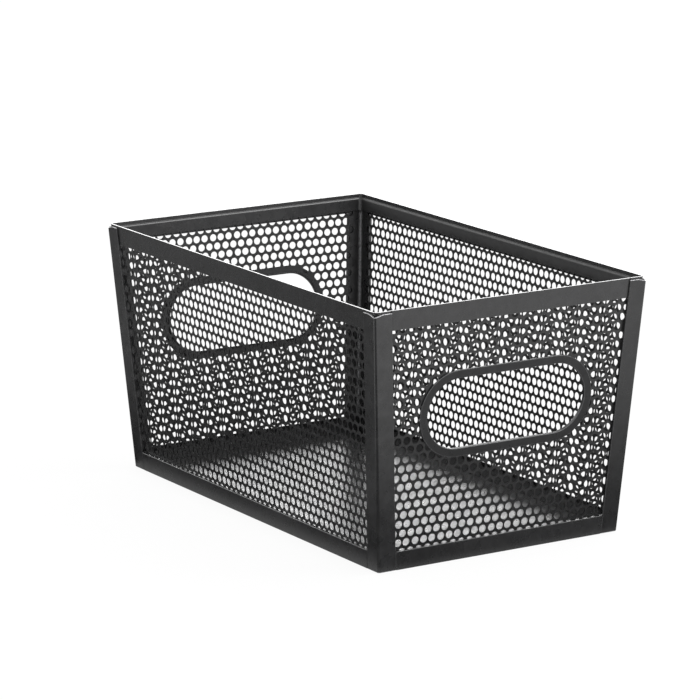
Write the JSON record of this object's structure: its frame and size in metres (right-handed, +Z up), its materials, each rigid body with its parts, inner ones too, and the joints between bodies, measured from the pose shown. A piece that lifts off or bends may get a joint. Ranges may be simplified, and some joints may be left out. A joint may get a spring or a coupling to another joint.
{
  "type": "storage basket",
  "caption": "Open-topped tapered storage basket of punched black sheet steel, with plain rim, corner posts, foot rails and a racetrack handle opening in each end.",
  "frame": {"origin": "on the floor under the middle of the base", "axes": "+X along the length, towards one handle end, +Y across the width, +Z up"},
  "size_m": [0.254, 0.154, 0.127],
  "materials": {
    "pan": "satin black powder coat on sheet steel",
    "panel": "satin black powder coat on punched sheet steel",
    "rim": "satin black powder coat on folded sheet steel",
    "rail": "satin black powder coat on sheet steel",
    "post": "satin black powder coat on bent sheet steel",
    "bezel": "satin black powder coat on pressed sheet steel"
  },
  "bodies": {
    "root": {"base_pan": "pan", "front_panel": "panel", "back_panel": "panel", "right_end_panel": "panel", "left_end_panel": "panel", "top_rim": "rim", "front_bottom_rail": "rail", "back_bottom_rail": "rail", "right_bottom_rail": "rail", "left_bottom_rail": "rail", "front_left_post": "post", "back_left_post": "post", "front_right_post": "post", "back_right_post": "post", "left_handle_bezel": "bezel", "right_handle_bezel": "bezel"}
  },
  "joints": []
}
